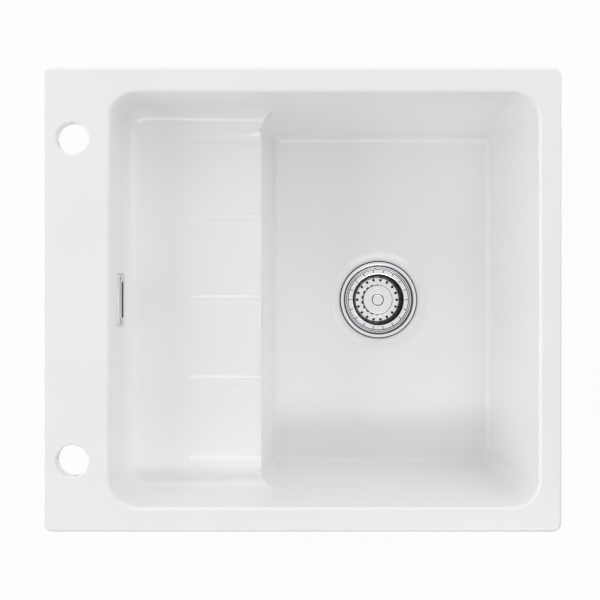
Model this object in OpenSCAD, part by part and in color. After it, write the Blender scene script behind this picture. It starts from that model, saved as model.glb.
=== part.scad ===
// Inset kitchen sink: a glazed ceramic basin with a drainer step and one bowl, its basket
// strainer waste, its overflow and the clamps that hold it in a worktop.
// The origin is the centre of the rim, on the plane where the rim lies on the worktop.
// +X runs from the tap ledge to the bowl, +Z is up.

/* [Rim] */
// Length of the rim
rim_length = 570; // [550:1:600]
// Width of the rim
rim_width = 510; // [500:1:530]
// Thickness of the rim on the worktop
rim_thickness = 15; // [12:0.5:18]
// Plan radius of the rim's corners
rim_corner_r = 10; // [6:0.5:16]
// Radius along the rim's upper edge
rim_edge_r = 3.5; // [2:0.5:5]

/* [Recess] */
// Width of the ledge for the tap
tap_ledge = 74; // [68:1:84]
// Width of the rim at the bowl end
end_border = 25; // [22:1:34]
// Width of the rim along each side
side_border = 27.5; // [24:0.5:34]
// Slope of the inner walls from upright, in degrees
draft = 6; // [4:0.25:7]
// Plan radius of the recess corners at the rim
corner_r = 30; // [28:0.5:40]
// Radius where the walls roll over into the rim
lip_r = 5; // [3:0.5:8]
// Thickness of the ceramic walls and floors
wall = 11; // [9:0.5:12]

/* [Drainer] */
// Depth of the drainer below the top of the rim
drainer_depth = 71; // [71:1:90]
// Radius between the drainer and the walls
drainer_fillet = 19.5; // [12:0.5:20]
// Distance from the recess's ledge side to the edge of the step
drainer_run = 164; // [130:1:185]
// Radius of the step's edge
step_edge_r = 7; // [4:0.5:10]
// Number of drain grooves
groove_count = 5; // [3:1:5]
// Distance from groove to groove
groove_pitch = 93; // [60:1:96]
// Length of a groove, from the middle of its round end to the step's edge
groove_length = 80; // [60:1:100]
// Width of a groove at the step's edge
groove_width = 16; // [10:0.5:20]
// Depth of a groove at the step's edge
groove_depth = 2.5; // [2:0.25:4]
// Depth of a groove at its round end
groove_end_depth = 1.2; // [0.6:0.1:1.8]

/* [Bowl] */
// Depth of the bowl below the top of the rim
bowl_depth = 190; // [170:1:200]
// Radius between the bowl's walls and floor
bowl_fillet = 9; // [5:0.5:14]
// Radius of the round dish around the drain
dish_r = 63.5; // [60:0.5:72]
// Depth of the dish
dish_depth = 4.5; // [3:0.25:6]
// Width of the steeper edge around the dish
dish_edge_width = 3; // [2:0.25:5]
// Depth of the steeper edge around the dish
dish_edge_depth = 2; // [1:0.25:2.5]
// Radius of the drain hole in the ceramic
drain_hole_r = 45; // [45:0.5:47]
// Distance from the step's edge to the middle of the drain
drain_offset = 145; // [120:1:160]
// Height of the thickened seat under the drain
boss_height = 6; // [3:0.5:10]

/* [Tap holes] */
// Radius of each tap hole
tap_hole_r = 17.5; // [15:0.5:19]
// Distance between the two tap holes
tap_hole_spacing = 354; // [320:1:380]
// Distance from the rim's end to the middle of a tap hole
tap_hole_inset = 32.5; // [28:0.5:40]
// Radius of the glazed edge of a tap hole
tap_hole_edge = 2; // [1:0.25:3]

/* [Strainer] */
// Radius of the steel flange in the bowl
flange_r = 48.6; // [48:0.1:52]
// Thickness of the flange's sheet
flange_sheet = 1.2; // [0.8:0.1:1.4]
// Inner radius of the flange's mouth, which takes the basket's rim
flange_mouth_r = 43.3; // [42.7:0.1:43.5]
// Depth of the mouth below the flange's underside
throat_depth = 6.5; // [6:0.25:9]
// Thickness of the seal under the flange
flange_seal = 1.5; // [1:0.25:3]
// Width of the seal that shows around the flange
seal_show = 0.9; // [0.3:0.1:1.2]
// Gap between the seal's edge and the foot of the dish's slope
dish_gap = 0.5; // [0.4:0.1:1]
// Inner radius of the flange's cup
cup_r = 39.4; // [39:0.1:41]
// Depth of the cup below the flange's underside
cup_depth = 30; // [27:0.5:33]
// Radius of the outlet in the cup's floor
cup_outlet_r = 24; // [20:0.5:27]
// Radius of the basket's flat shoulder
basket_r = 38.4; // [37.5:0.1:38.9]
// Width of the basket's flat shoulder
basket_rim = 5; // [3:0.25:7]
// Number of rings that step up outside the shoulder
rim_rings = 2; // [1:1:3]
// Width over those rings
rim_rings_width = 4; // [3:0.1:4.3]
// Height of each ring
rim_ring_height = 0.9; // [0.5:0.1:1]
// Depth of the basket
basket_depth = 22; // [18.5:0.5:24]
// Radius of the basket's floor
basket_floor_r = 29.3; // [28:0.1:30]
// Thickness of the basket's sheet
basket_sheet = 0.9; // [0.6:0.1:1.4]
// Number of holes in the basket's floor
basket_holes = 18; // [12:1:24]
// Length of each hole, outwards from the middle
basket_hole_length = 3.6; // [3:0.1:5]
// Width of each hole
basket_hole_width = 3.3; // [2:0.1:3.5]
// Width of the radial lines pressed in the basket's shoulder
rim_line_width = 0.6; // [0.4:0.1:1.2]
// Depth of the radial lines
rim_line_depth = 0.3; // [0.2:0.05:0.4]
// Radius of the knob
knob_r = 19; // [14:0.5:21]
// Radius of the dimple in the knob
knob_dimple_r = 7.2; // [5:0.2:10]
// Thickness of the knob
knob_height = 6; // [5:0.5:8]
// Depth of the knob's top below the basket's rim
knob_drop = 7; // [4:0.5:8]
// Depth of the stem's hole in the knob
knob_socket = 3; // [2:0.25:3.5]
// Radius of the stem
stem_r = 4; // [3:0.25:5]
// Thickness of the stem's foot
stem_foot = 1.8; // [1:0.1:2.2]
// Radius of the rubber seal under the basket
basket_seal_r = 30; // [29:0.5:33]
// Thickness of the rubber seal under the basket
basket_seal_height = 3; // [2:0.25:5]
// Radius of the washer on the seal
washer_r = 13; // [9:0.5:18]
// Thickness of the washer on the seal
washer_height = 1.2; // [0.8:0.1:2]

/* [Waste body] */
// Inner radius of the waste body
body_r = 43; // [42.5:0.25:44]
// Wall of the waste body
body_wall = 3; // [2:0.25:4]
// Radius of the waste body's top flange
body_flange_r = 58; // [54:0.5:62]
// Thickness of the waste body's top flange
body_flange = 4; // [3:0.5:6]
// Thickness of the seal on top of the waste body
body_seal = 3; // [2:0.25:5]
// Height of the waste body's straight part
body_height = 42; // [40:1:52]
// Height of the waste body's funnel
funnel_height = 14; // [10:1:22]
// Outer radius of the outlet's thread
outlet_r = 23.9; // [20:0.1:26]
// Wall of the outlet
outlet_wall = 2.9; // [2:0.1:4]
// Length of the outlet
outlet_length = 32; // [24:1:45]
// Radius of the centre bolt
bolt_r = 4; // [3:0.25:4.5]
// Length of the centre bolt
bolt_length = 28; // [20:1:34]
// Radius of the centre bolt's head
bolt_head_r = 7; // [6:0.25:8]
// Height of the centre bolt's head
bolt_head = 4; // [3:0.25:5]
// Distance from the underside of the cup to the centre bolt's head
hub_drop = 1.8; // [1:0.1:3]
// Thickness of the hub and its spokes
hub_height = 3; // [2:0.25:5]
// Radius of the hub
hub_r = 9; // [8.5:0.25:11]
// Width of the hub's spokes
spoke_width = 5; // [3:0.25:7]
// Gap between the hub and the waste body's boss
hub_gap = 1; // [0.5:0.1:2]
// Wall of the boss that takes the centre bolt
bolt_boss_wall = 4; // [3:0.25:5]
// Thickness of the boss's webs
web_sheet = 3; // [2:0.25:4]
// Height of the boss's webs
web_height = 14; // [10:0.5:15]
// Depth of the boss's foot below the top of the funnel
bolt_boss_drop = 6; // [4:0.5:9]
// Depth of the webs' foot below the top of the funnel
web_drop = 4; // [2:0.5:5]
// Distance from the drain hole's edge to the seals around it
seal_margin = 1; // [0.5:0.25:1.5]

/* [Overflow] */
// Depth of the overflow's middle below the top of the rim
overflow_depth = 41; // [36:0.5:41.5]
// Length of the overflow cover
cover_length = 60; // [56:1:70]
// Height of the overflow cover
cover_height = 24; // [20:0.5:25]
// Thickness of the overflow cover
cover_sheet = 1.5; // [1:0.1:2.5]
// Length of the cover's slot
slot_length = 42; // [30:1:44]
// Height of the cover's slot
slot_height = 7; // [4:0.5:7.5]
// Distance from the cover's middle down to the slot's middle
slot_drop = 5; // [4:0.25:5.5]
// Height of the cover's screws above its middle
cover_screw_rise = 2.5; // [0:0.25:4]
// Length of the opening in the ceramic
opening_length = 54; // [52:1:55]
// Height of the opening in the ceramic
opening_height = 18; // [17:0.5:19]
// Distance between the cover's two screws
cover_screw_spacing = 48; // [47:0.5:49]
// Width of the overflow box
box_width = 76; // [70:1:90]
// Height of the overflow box
box_height = 40; // [38:1:48]
// Depth of the overflow box
box_depth = 30; // [29:1:34]
// Wall of the overflow box
box_wall = 2.5; // [2:0.25:3.5]
// Thickness of the overflow box's seal
box_seal = 2; // [1:0.25:4]
// Radius of the box's corners
box_corner_r = 6; // [4:0.5:8]
// Width of the seal's frame
box_seal_border = 7.5; // [6:0.25:9]
// Width of the box's flange at each end of the box
box_flange_side = 4; // [2:0.5:6]
// Width of the box's flange above and below the box
box_flange_top = 2; // [1:0.5:3]
// Thickness of the box's flange
box_flange = 3; // [2:0.25:5]
// Radius of the box's screw bosses
box_boss_r = 4.5; // [3.5:0.25:5]
// Radius of each cover screw
cover_screw_r = 1.75; // [1.5:0.05:2]
// Radius of each cover screw's head
cover_head_r = 2.95; // [2.6:0.05:3.2]
// Depth of the cover's countersinks
countersink = 1.2; // [0.8:0.1:1.4]
// Length of each cover screw inside the overflow box
cover_screw_grip = 8; // [5:0.5:9]

/* [Overflow hose] */
// Inner radius of the hose and its two spigots
hose_bore = 9.5; // [8:0.25:10]
// Radius of the hose's plain ends
hose_cuff_r = 11.3; // [10.8:0.1:11.8]
// Radius over the hose's ribs
hose_rib_r = 12.4; // [12:0.1:14]
// Distance from rib to rib
hose_pitch = 4.5; // [4:0.25:8]
// Radius of the hose's bend
hose_bend_r = 110; // [80:1:120]
// Outer radius of each spigot
spigot_r = 13; // [12.8:0.1:14]
// Length of the overflow box's spigot
spigot_length = 24; // [20:1:30]
// Distance from the drain's middle to the end of the waste's spigot
side_spigot_reach = 75; // [70:1:90]
// Depth of the waste's spigot below the waste body's top
side_spigot_drop = 24; // [22:0.5:27]
// Outer radius of each hose nut
nut_r = 17; // [16:0.25:18]
// Length of each hose nut
nut_length = 16; // [14:0.5:20]
// Number of grip ribs on each hose nut
nut_ribs = 12; // [8:1:16]
// Height of each grip rib
nut_rib_height = 1; // [0.6:0.1:1.2]
// Width of each grip rib
nut_rib_width = 3; // [2:0.25:4]
// Thickness of each nut's end
nut_collar = 3; // [2:0.25:4]
// Length of the seal inside each nut
hose_seal_length = 3; // [2:0.25:4]

/* [Clamps] */
// Distance from the rim's ledge end to the first pair of clamps
clamp_near = 130; // [110:1:160]
// Distance from the rim's bowl end to the second pair of clamps
clamp_far = 90; // [70:1:120]
// Distance from the rim's side to each clamp screw
clamp_inset = 16.5; // [16:0.25:17]
// Thickness of the thickest worktop that the clamps take
worktop = 40; // [34:1:46]
// Height of each lug under the rim
lug_height = 25; // [20:1:28]
// Length of each lug along the rim
lug_length = 22; // [18:1:30]
// Width of each lug, across the rim
lug_width = 11; // [10:0.5:12]
// Radius of each wall plug
plug_r = 3; // [2.8:0.1:3.5]
// Gap between each clamp screw's tip and the plug's end
screw_tip_gap = 4; // [2.5:0.5:6]
// Length of each wall plug
plug_length = 20; // [14:1:22]
// Radius of each clamp screw
clamp_screw_r = 2; // [1.6:0.1:2.2]
// Height of each clamp screw's head
clamp_head = 2.6; // [2:0.1:3.2]
// Thickness of each wall plug's flange
plug_flange = 1.2; // [0.8:0.1:2]
// Radius of each wall plug's flange
plug_flange_r = 3.9; // [3.6:0.1:4.2]
// Length of each clamp bracket beyond its screw
bracket_reach = 28; // [20:1:36]
// Width of each clamp bracket
bracket_width = 9; // [8:0.25:9.5]
// Thickness of each clamp bracket
bracket_sheet = 3; // [2:0.25:4]
// Height of each clamp bracket's claw
claw_height = 4; // [2:0.5:8]

/* [Clearances] */
// Radial play of a pin that turns in its hole
turning_play = 0.1; // [0.05:0.01:0.15]
// Radial play of a thread or plug in its hole
seated_play = 0.05; // [0.02:0.01:0.08]
// Radial play of a wall plug in its cast hole
plug_play = 0.2; // [0.2:0.05:0.4]
// Radial play of the hose in its nuts
hose_play = 0.3; // [0.1:0.05:0.5]

/* [Hidden] */
$fn = 72;

// Colours
ceramic = "#e6e4e6";
polished_steel = "#c9cccf";
dull_steel = "#a9adb0";
black_rubber = "#2b2b2d";
grey_plastic = "#b9bcbe";
white_plastic = "#e9e9e6";

// Overshoot of a cut past the face that it opens
past = 1;
// Length of a groove's channel past the step's edge
groove_run_on = 12;
// Length left straight where two round ends would meet
end_flat = 0.01;

// Recess, bowl and drain in plan
recess_left = -rim_length / 2 + tap_ledge;
recess_right = rim_length / 2 - end_border;
recess_half = rim_width / 2 - side_border;
step_x = recess_left + drainer_run;
drain_x = step_x + drain_offset;
slope = tan(draft);
// A fillet or lip of radius 1 starts this far from the corner that it rounds
tangent = tan(45 - draft / 2);
// Where the bowl's ledge-side wall would meet the top of the rim
bowl_left = step_x - drainer_depth * slope;
// The walls' thickness measured level
wall_across = wall / cos(draft);

// Heights
drainer_z = rim_thickness - drainer_depth;
floor_z = rim_thickness - bowl_depth;
dish_z = floor_z - dish_depth;
boss_z = floor_z - wall - boss_height;
// The seat is 1 wider than the dish
boss_r = dish_r + 1;

// Strainer and waste heights
flange_z = dish_z + flange_seal;
cup_z = flange_z - cup_depth;
hub_z = cup_z - flange_sheet - hub_drop - bolt_head;
body_z = boss_z - body_seal;
side_spigot_z = body_z - side_spigot_drop;
funnel_z = body_z - body_height;
outlet_z = funnel_z - funnel_height;
outlet_end_z = outlet_z - outlet_length;
seal_top = cup_z + basket_seal_height;
washer_top = seal_top + washer_height;
basket_top = washer_top + basket_depth;
knob_z = basket_top - knob_height - knob_drop;

// Overflow hose: straight from the box, one bend, then level to the waste
box_middle = -wall - box_seal - box_depth / 2;
hose_start = overflow_point(box_middle, -box_height / 2 - spigot_length);
hose_end = [drain_x - side_spigot_reach, side_spigot_z];
hose_turn = 90 - draft;
hose_drop = (hose_start[1] - hose_end[1] - hose_bend_r * (1 - cos(hose_turn))) / sin(hose_turn);
hose_arc = hose_bend_r * hose_turn * PI / 180;
hose_level = hose_end[0] - hose_start[0] - hose_drop * cos(hose_turn) - hose_bend_r * sin(hose_turn);
hose_length = hose_drop + hose_arc + hose_level;
// Each end is plain for one diameter, and the rest is divided into whole ribs
hose_plain = 2 * hose_cuff_r;
hose_ribs = round((hose_length - 2 * hose_plain) / hose_pitch);
// Sides of the hose, which is a tube of flat faces
hose_sides = 8;

// Clamps
clamp_places = [
    [-rim_length / 2 + clamp_near, 1], [-rim_length / 2 + clamp_near, -1],
    [rim_length / 2 - clamp_far, 1], [rim_length / 2 - clamp_far, -1]
];
clamp_y = rim_width / 2 - clamp_inset;
bracket_z = -worktop - claw_height - bracket_sheet;

// Point at a distance out of the overflow's wall and a height along it, in the plane y = 0
function overflow_point(out, up) = [
    recess_left + overflow_depth * slope + out * cos(draft) - up * sin(draft),
    rim_thickness - overflow_depth + out * sin(draft) + up * cos(draft)
];

// Point of the hose's middle line at distance s along it, with the direction there in degrees
function hose_at(s) =
    s < hose_drop
        ? [hose_start[0] + s * cos(hose_turn), hose_start[1] - s * sin(hose_turn), -hose_turn]
    : s < hose_drop + hose_arc
        ? hose_on_bend((s - hose_drop) / hose_bend_r * 180 / PI - hose_turn)
        : [hose_end[0] - (hose_length - s), hose_end[1], 0];
function hose_on_bend(way) = [
    hose_end[0] - hose_level + hose_bend_r * sin(way),
    hose_end[1] + hose_bend_r * (1 - cos(way)),
    way
];

// Ring of points around the hose's middle line
function hose_ring(s, r) =
    let (at = hose_at(s))
    [for (i = [0 : hose_sides - 1])
        let (turn = 360 * i / hose_sides)
        [
            at[0] - r * cos(turn) * sin(at[2]),
            r * sin(turn),
            at[1] + r * cos(turn) * cos(at[2])
        ]];

// Half of a tub's section: x from the corners' axis outwards, y from the top of the rim
module tub_section(corner, depth, fillet, lip, top) {
    foot = corner - depth * slope;
    round_r = min(fillet, (foot - 0.5) / tangent);
    middle = [foot - round_r * tangent, round_r - depth];
    lip_x = corner + lip * tangent;
    difference() {
        polygon(concat(
            lip > 0
                ? [[0, top], [lip_x, top], [lip_x, -lip],
                    [corner - lip * tangent * sin(draft), -lip * tangent * cos(draft)]]
                : [[0, top], [corner + top * slope, top]],
            [[foot, -depth], [0, -depth]]
        ));
        if (lip > 0)
            translate([lip_x, -lip])
                circle(lip);
        difference() {
            polygon([
                [foot, -depth],
                [middle[0], -depth],
                middle,
                [foot + round_r * tangent * sin(draft), round_r * tangent * cos(draft) - depth]
            ]);
            translate(middle)
                circle(round_r);
        }
    }
}

// Straight-sided half section with its upper corner rounded
module slab_section(corner, height, edge) {
    difference() {
        square([corner, height]);
        translate([corner - edge, height - edge])
            difference() {
                square(edge + past);
                circle(edge);
            }
    }
}

// Box with round corners, its sides shaped by a half section; both says whether its high end
// is closed by a side and two corners too, or left flat
module round_box(x_low, x_high, y_half, corner, low, high, both) {
    reach = (both ? x_high - x_low - 2 * corner : x_high - x_low - corner) / 2;
    side = y_half - corner;
    translate([x_low + corner + reach, 0, 0]) {
        translate([-reach, -side, low])
            cube([2 * reach, 2 * side, high - low]);
        for (flip = [0, 1])
            mirror([0, flip, 0])
                translate([-reach, side, 0])
                    rotate([90, 0, 90])
                        linear_extrude(2 * reach)
                            children();
        for (far = both ? [0, 1] : [0])
            mirror([1 - far, 0, 0])
                translate([reach, side, 0]) {
                    rotate([90, 0, 0])
                        linear_extrude(2 * side)
                            children();
                    rotate_extrude(angle = 90)
                        children();
                    translate([0, -2 * side, 0])
                        rotate(-90)
                            rotate_extrude(angle = 90)
                                children();
                }
    }
}

// Drainer space, from the ledge to the plane where the bowl's own sides begin
module drainer_space(grow, lip, top) {
    corner = corner_r + grow / cos(draft);
    depth = drainer_depth + grow;
    translate([0, 0, rim_thickness])
        round_box(recess_left + corner_r - corner, bowl_left + corner_r,
            recess_half - corner_r + corner, corner, -depth, top, false)
            tub_section(corner, depth, drainer_fillet + grow, lip, top);
}

// Bowl space, from its ledge-side wall to the far end of the recess
module bowl_space(grow, lip, top) {
    corner = corner_r + grow / cos(draft);
    depth = bowl_depth + grow;
    translate([0, 0, rim_thickness])
        round_box(bowl_left + corner_r - corner, recess_right - corner_r + corner,
            recess_half - corner_r + corner, corner, -depth, top, true)
            tub_section(corner, depth, bowl_fillet + grow, lip, top);
}

// What the rounding takes off the step's edge, in x and z
module step_edge_section() {
    middle = [step_x - step_edge_r * tangent, drainer_z - step_edge_r];
    lower = [
        step_x + step_edge_r * tangent * sin(draft),
        drainer_z - step_edge_r * tangent * cos(draft)
    ];
    difference() {
        polygon([
            middle, [middle[0], drainer_z + past], [step_x + 3 * past, drainer_z + past],
            [lower[0] + 3 * past, lower[1]], lower
        ]);
        translate(middle)
            circle(step_edge_r);
    }
}

// One groove: a round channel with a ball end, which sinks towards the step's edge
module groove() {
    half = groove_width / 2;
    channel_r = (half * half + groove_depth * groove_depth) / (2 * groove_depth);
    translate([0, 0, channel_r - groove_end_depth])
        rotate([0, 90 + atan((groove_depth - groove_end_depth) / groove_length), 0])
            rotate_extrude() {
                square([channel_r, groove_length + groove_run_on]);
                intersection() {
                    circle(channel_r);
                    translate([0, -channel_r])
                        square(channel_r);
                }
            }
}

// Puts what follows on the overflow's wall: x out of the wall, z up along it
module on_overflow_wall() {
    translate([recess_left + overflow_depth * slope, 0, rim_thickness - overflow_depth])
        rotate([0, -draft, 0])
            children();
}

// Upright plate on the overflow's wall with rounded corners, from x = 0 outwards
module wall_plate(length, height, corner, depth) {
    rotate([90, 0, 90])
        linear_extrude(depth) {
            square([length - 2 * corner, height], center = true);
            square([length, height - 2 * corner], center = true);
            for (side = [-1, 1], up = [-1, 1])
                translate([side * (length / 2 - corner), up * (height / 2 - corner)])
                    circle(corner);
        }
}

// Ring between two radii
module ring(inner, outer, height) {
    difference() {
        cylinder(h = height, r = outer);
        translate([0, 0, -past])
            cylinder(h = height + 2 * past, r = inner);
    }
}

// The ceramic basin, slip-cast in one piece with its drainer, bowl and rim
module sink_basin() {
    tap_x = -rim_length / 2 + tap_hole_inset;
    color(ceramic)
        difference() {
            union() {
                round_box(-rim_length / 2, rim_length / 2, rim_width / 2, rim_corner_r, 0,
                    rim_thickness, true)
                    slab_section(rim_corner_r, rim_thickness, rim_edge_r);
                drainer_space(wall, 0, -rim_thickness / 2);
                bowl_space(wall, 0, -rim_thickness / 2);
                translate([drain_x, 0, boss_z])
                    cylinder(h = boss_height + wall / 2, r = boss_r);
                for (place = clamp_places)
                    translate([place[0] - lug_length / 2, place[1] * clamp_y - lug_width / 2,
                        -lug_height])
                        cube([lug_length, lug_width, lug_height + rim_thickness / 2]);
            }
            drainer_space(0, lip_r, past);
            bowl_space(0, lip_r, past);
            rotate([90, 0, 0])
                linear_extrude(2 * (recess_half - corner_r), center = true)
                    step_edge_section();
            for (i = [0 : groove_count - 1])
                translate([step_x - groove_length, (i - (groove_count - 1) / 2) * groove_pitch,
                    drainer_z])
                    groove();
            translate([drain_x, 0, floor_z]) {
                translate([0, 0, -dish_depth])
                    cylinder(h = dish_depth - dish_edge_depth, r1 = flange_r + seal_show + dish_gap,
                        r2 = dish_r - dish_edge_width);
                translate([0, 0, -dish_edge_depth])
                    cylinder(h = dish_edge_depth, r1 = dish_r - dish_edge_width, r2 = dish_r);
            }
            translate([drain_x, 0, boss_z - past])
                cylinder(h = wall + boss_height + 2 * past, r = drain_hole_r);
            for (side = [-1, 1])
                translate([tap_x, side * tap_hole_spacing / 2, 0]) {
                    translate([0, 0, -past])
                        cylinder(h = rim_thickness + 2 * past, r = tap_hole_r);
                    translate([0, 0, rim_thickness - tap_hole_edge])
                        rotate_extrude()
                            difference() {
                                square([tap_hole_r + tap_hole_edge, tap_hole_edge + past]);
                                translate([tap_hole_r + tap_hole_edge, 0])
                                    circle(tap_hole_edge);
                            }
                }
            on_overflow_wall()
                translate([-wall - past, 0, 0])
                    wall_plate(opening_length, opening_height, opening_height / 2 - end_flat,
                        wall + 2 * past);
            for (place = clamp_places)
                translate([place[0], place[1] * clamp_y, -lug_height - plug_flange - past]) {
                    cylinder(h = plug_flange + plug_length + 2 * past, r = plug_r + plug_play);
                    cylinder(h = plug_flange + past, r = plug_flange_r + plug_play);
                }
        }
}

// Flange, mouth and cup, pressed from one steel sheet, with a spoked hub below
module strainer_flange() {
    edge = 0.5;
    seat = flange_z - throat_depth;
    slope_drop = 1.5;
    color(polished_steel)
        translate([drain_x, 0, 0]) {
            rotate_extrude()
                polygon([
                    [flange_r, flange_z], [flange_r, flange_z + flange_sheet - edge],
                    [flange_r - edge, flange_z + flange_sheet],
                    [flange_mouth_r + edge, flange_z + flange_sheet],
                    [flange_mouth_r, flange_z + flange_sheet - edge], [flange_mouth_r, seat],
                    [cup_r, seat - slope_drop], [cup_r, cup_z], [cup_outlet_r, cup_z],
                    [cup_outlet_r, hub_z - hub_height],
                    [cup_outlet_r + flange_sheet, hub_z - hub_height],
                    [cup_outlet_r + flange_sheet, cup_z - flange_sheet],
                    [cup_r + flange_sheet, cup_z - flange_sheet],
                    [cup_r + flange_sheet, seat - slope_drop - flange_sheet],
                    [flange_mouth_r + flange_sheet, seat - flange_sheet],
                    [flange_mouth_r + flange_sheet, flange_z]
                ]);
            translate([0, 0, hub_z - hub_height]) {
                ring(bolt_r + turning_play, hub_r, hub_height);
                for (i = [0 : 2])
                    rotate(120 * i)
                        translate([hub_r - past, -spoke_width / 2, 0])
                            cube([cup_outlet_r - hub_r + past + flange_sheet / 2, spoke_width,
                                hub_height]);
            }
        }
}

// Soft ring between the flange and the ceramic
module flange_seal() {
    color(black_rubber)
        translate([drain_x, 0, dish_z])
            ring(drain_hole_r + seal_margin, flange_r + seal_show, flange_seal);
}

// Body under the sink, with the bolt's boss, the outlet and the overflow's spigot
module waste_body() {
    outer = body_r + body_wall;
    boss_top = hub_z - hub_height - hub_gap;
    boss_foot = funnel_z - bolt_boss_drop;
    web_foot = funnel_z - web_drop;
    color(white_plastic)
        translate([drain_x, 0, 0]) {
            difference() {
                union() {
                    rotate_extrude()
                        polygon([
                            [0, body_z], [body_flange_r, body_z],
                            [body_flange_r, body_z - body_flange],
                            [outer, body_z - body_flange], [outer, funnel_z],
                            [outlet_r, outlet_z], [outlet_r, outlet_end_z], [0, outlet_end_z]
                        ]);
                    translate([-side_spigot_reach, 0, side_spigot_z])
                        rotate([0, 90, 0])
                            cylinder(h = side_spigot_reach - body_r, r = spigot_r);
                }
                rotate_extrude()
                    polygon([
                        [0, body_z + past], [body_r, body_z + past], [body_r, funnel_z],
                        [outlet_r - outlet_wall, outlet_z],
                        [outlet_r - outlet_wall, outlet_end_z - past], [0, outlet_end_z - past]
                    ]);
                translate([-side_spigot_reach - past, 0, side_spigot_z])
                    rotate([0, 90, 0])
                        cylinder(h = side_spigot_reach + past, r = hose_bore);
            }
            difference() {
                union() {
                    translate([0, 0, boss_foot])
                        cylinder(h = boss_top - boss_foot, r = bolt_r + bolt_boss_wall);
                    for (i = [0 : 2])
                        rotate(120 * i)
                            translate([bolt_r + bolt_boss_wall - past, -web_sheet / 2, web_foot])
                                cube([body_r - bolt_r - bolt_boss_wall + past + body_wall / 2,
                                    web_sheet, web_height]);
                }
                translate([0, 0, boss_foot - past])
                    cylinder(h = boss_top - boss_foot + 2 * past, r = bolt_r + seated_play);
            }
        }
}

// Soft ring between the waste body and the underside of the ceramic
module waste_body_seal() {
    color(black_rubber)
        translate([drain_x, 0, body_z])
            ring(drain_hole_r + seal_margin, body_flange_r - seal_margin, body_seal);
}

// Bolt that draws the flange and the waste body together
module centre_bolt() {
    chamfer = 1;
    slot = 1.6;
    slot_depth = 1.8;
    color(dull_steel)
        translate([drain_x, 0, hub_z]) {
            difference() {
                union() {
                    cylinder(h = bolt_head - chamfer, r = bolt_head_r);
                    translate([0, 0, bolt_head - chamfer])
                        cylinder(h = chamfer, r1 = bolt_head_r, r2 = bolt_head_r - chamfer);
                }
                translate([-bolt_head_r - past, -slot / 2, bolt_head - slot_depth])
                    cube([2 * bolt_head_r + 2 * past, slot, slot_depth + past]);
            }
            translate([0, 0, -bolt_length])
                cylinder(h = bolt_length, r = bolt_r);
        }
}

// Basket, pressed from thin steel sheet, with a ringed rim and a ring of holes in its floor
module strainer_basket() {
    inner = basket_r - basket_rim;
    ring_width = rim_rings_width / rim_rings;
    bend = 1;
    edge = 0.4;
    curl = 1;
    hole_start = basket_floor_r - bend - edge - basket_hole_length;
    color(polished_steel)
        translate([drain_x, 0, 0])
            difference() {
                rotate_extrude()
                    polygon(concat(
                        [
                            [stem_r + seated_play, washer_top],
                            [basket_floor_r - bend, washer_top],
                            [basket_floor_r, washer_top + bend],
                            [inner, basket_top - bend],
                            [inner + curl, basket_top - basket_sheet],
                            [basket_r, basket_top - basket_sheet]
                        ],
                        [for (k = [1 : rim_rings]) each [
                            [basket_r + (k - 0.8) * ring_width,
                                basket_top - basket_sheet + k * rim_ring_height],
                            [basket_r + k * ring_width,
                                basket_top - basket_sheet + k * rim_ring_height]
                        ]],
                        [for (k = [rim_rings : -1 : 1]) each [
                            [basket_r + k * ring_width, basket_top + k * rim_ring_height],
                            [basket_r + (k - 0.8) * ring_width - edge,
                                basket_top + k * rim_ring_height]
                        ]],
                        [
                            [basket_r - edge, basket_top], [inner + edge, basket_top],
                            [inner - basket_sheet, basket_top - bend],
                            [basket_floor_r - basket_sheet, washer_top + bend + edge],
                            [basket_floor_r - bend - edge, washer_top + basket_sheet],
                            [stem_r + seated_play, washer_top + basket_sheet]
                        ]
                    ));
                for (i = [0 : basket_holes - 1])
                    rotate(360 * i / basket_holes) {
                        translate([hole_start, -basket_hole_width / 2, washer_top - past])
                            cube([basket_hole_length, basket_hole_width,
                                basket_sheet + 2 * past]);
                        translate([inner + curl, -rim_line_width / 2, basket_top - rim_line_depth])
                            cube([basket_rim - curl - edge, rim_line_width,
                                rim_line_depth + past]);
                    }
            }
}

// Knob, turned from steel, with a dimple that the stem's end fills from below
module basket_knob() {
    taper = 8;
    edge = 0.8;
    dimple = 1.4;
    color(polished_steel)
        translate([drain_x, 0, knob_z])
            rotate_extrude()
                polygon([
                    [0, knob_socket], [stem_r + seated_play, knob_socket],
                    [stem_r + seated_play, 0], [knob_r - taper, 0],
                    [knob_r - 2 * edge, knob_height - 3 * edge],
                    [knob_r, knob_height - 2 * edge], [knob_r, knob_height - edge],
                    [knob_r - edge, knob_height], [knob_dimple_r + edge, knob_height],
                    [knob_dimple_r, knob_height - edge],
                    [knob_dimple_r - edge, knob_height - dimple], [0, knob_height - dimple]
                ]);
}

// Stem from the knob through the basket and the seal, with a riveted foot
module basket_stem() {
    foot_r = stem_r + 3;
    color(dull_steel)
        translate([drain_x, 0, cup_z - stem_foot]) {
            cylinder(h = stem_foot, r = foot_r);
            cylinder(h = knob_z + knob_socket - cup_z + stem_foot, r = stem_r);
        }
}

// Rubber disc that closes the cup's outlet when the basket is down
module basket_seal() {
    edge = 0.8;
    color(black_rubber)
        translate([drain_x, 0, cup_z])
            rotate_extrude()
                polygon([
                    [stem_r + seated_play, 0], [basket_seal_r - edge, 0], [basket_seal_r, edge],
                    [basket_seal_r - 2 * edge, basket_seal_height],
                    [stem_r + seated_play, basket_seal_height]
                ]);
}

// Washer between the rubber disc and the basket
module basket_seal_washer() {
    color(dull_steel)
        translate([drain_x, 0, seal_top])
            ring(stem_r + seated_play, washer_r, washer_height);
}

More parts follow.
